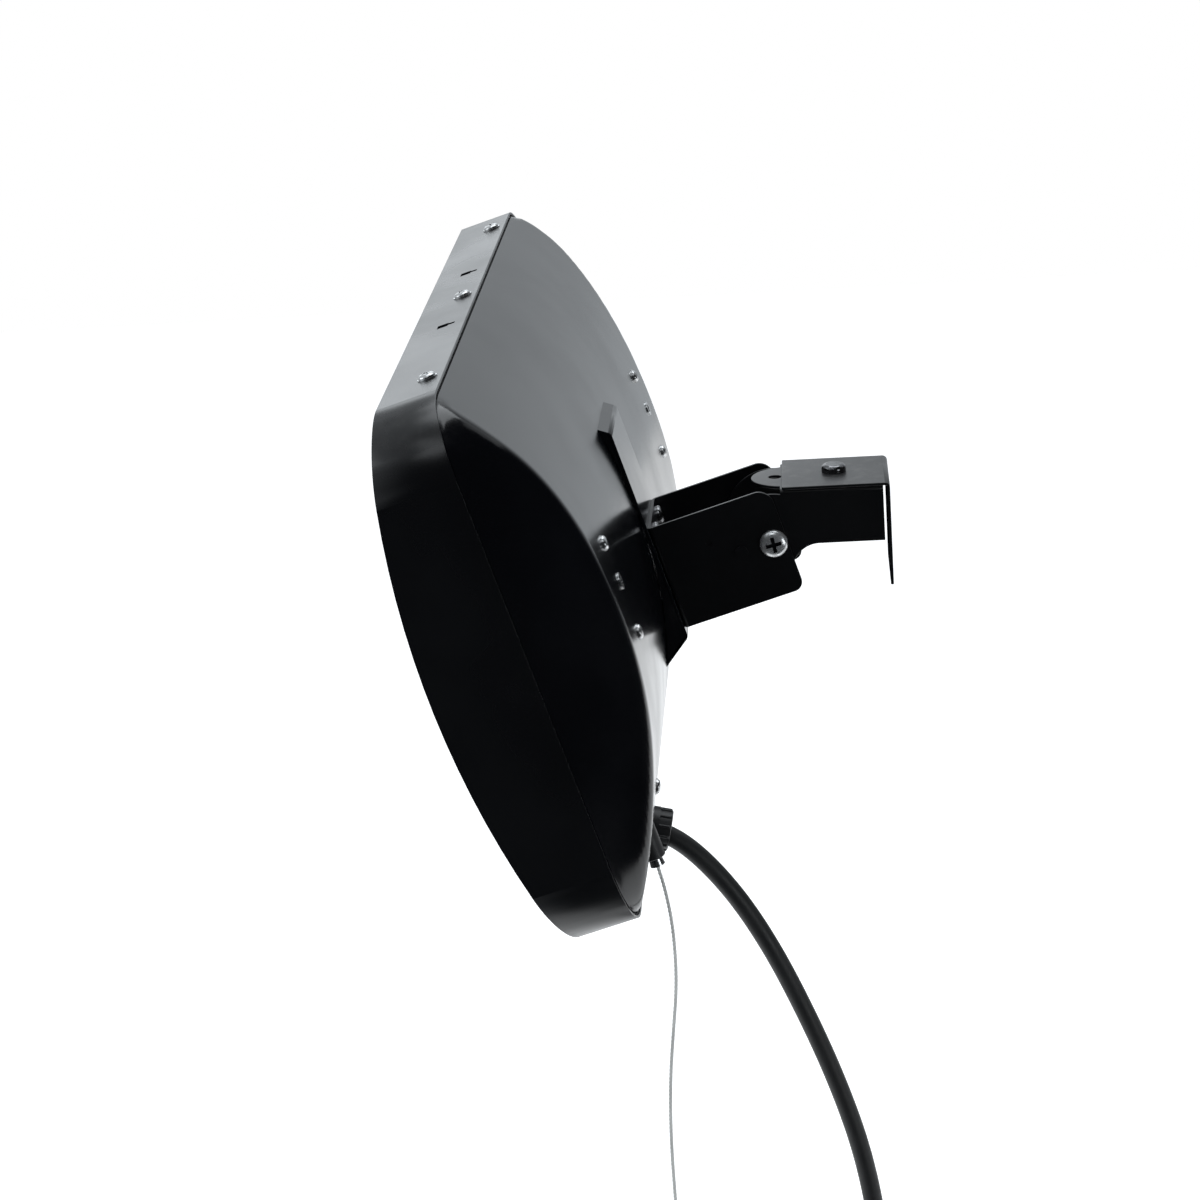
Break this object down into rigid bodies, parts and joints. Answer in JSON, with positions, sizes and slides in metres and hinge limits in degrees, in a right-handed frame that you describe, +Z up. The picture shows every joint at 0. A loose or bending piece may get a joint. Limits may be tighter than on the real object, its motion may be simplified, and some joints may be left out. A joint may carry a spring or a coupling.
{
  "type": "electric patio heater",
  "caption": "Wall-mounted electric infrared patio heater with a bowed front guard, quartz lamps, tilting bracket, pull switch and power cord.",
  "frame": {"origin": "centre of the wall plate's back face, on the wall", "axes": "+Y into the wall, so the heater faces -Y; +Z up; +X across the heater"},
  "size_m": [0.474, 0.2273, 0.6757],
  "materials": {
    "bracket_paint": "satin charcoal paint",
    "shell_paint": "semi-gloss slate black paint",
    "strap_paint": "semi-gloss slate black paint",
    "band_paint": "semi-gloss slate black paint",
    "zinc": "zinc plated",
    "guard_wire": "bright plated",
    "reflector_sheet": "polished",
    "galvanised": "matt galvanised",
    "quartz": "clear quartz",
    "coil_wire": "dull",
    "ceramic": "unglazed ceramic",
    "black_plastic": "moulded",
    "terminal_plastic": "moulded",
    "wire_sheath": "silicone sheath",
    "cord_rubber": "matt black",
    "pull_string": "braided",
    "knob_plastic": "moulded"
  },
  "bodies": {
    "wall_mount": {"wall_bracket": "bracket_paint", "pan_bolt": "zinc", "pan_washer": "zinc", "pan_nut": "zinc"},
    "swivel": {"swivel_channel": "bracket_paint", "tilt_screws": "zinc", "tilt_washers": "zinc", "tilt_nuts": "zinc"},
    "head": {"head_bracket": "bracket_paint", "mounting_strap": "strap_paint", "bracket_screws": "zinc", "bracket_nuts": "zinc", "back_shell": "shell_paint", "shell_screws": "zinc", "shell_washers": "zinc", "shell_nuts": "zinc", "shell_rivets": "zinc", "front_band": "band_paint", "band_screws": "zinc", "reflector": "reflector_sheet", "front_guard": "guard_wire", "lamp_bottom": "quartz", "lamp_middle": "quartz", "lamp_top": "quartz", "heating_coils": "coil_wire", "lamp_caps": "ceramic", "lamp_holders": "galvanised", "heat_shield": "galvanised", "shield_spacers": "zinc", "terminal_block": "terminal_plastic", "terminal_screws": "zinc", "wiring": "wire_sheath", "cable_gland": "black_plastic", "gland_cap": "black_plastic", "gland_locknut": "black_plastic", "pull_switch": "black_plastic", "pull_collar": "black_plastic", "pull_bell": "zinc", "power_cord": "cord_rubber", "cord_coil": "cord_rubber", "cord_tail": "cord_rubber", "coil_ties": "black_plastic", "plug": "cord_rubber", "plug_pins": "zinc"},
    "pull": {"pull_cord": "pull_string", "pull_knob": "knob_plastic", "pull_plunger": "zinc"}
  },
  "joints": [
    {"name": "pan", "type": "hinge", "parent": "wall_mount", "child": "swivel", "pos_m": [0, -0.0274, 0], "axis": [0, 0, 1], "range_deg": [-4, 4]},
    {"name": "tilt", "type": "hinge", "parent": "swivel", "child": "head", "pos_m": [0, -0.0588, -0.0015], "axis": [1, 0, 0], "range_deg": [-15, 30]},
    {"name": "pull_slide", "type": "slide", "parent": "head", "child": "pull", "axis": [0, 0.2857, -0.9583], "range_m": [0, 0.008], "stiffness_N_per_m": 400, "springref_m": -0.004}
  ]
}
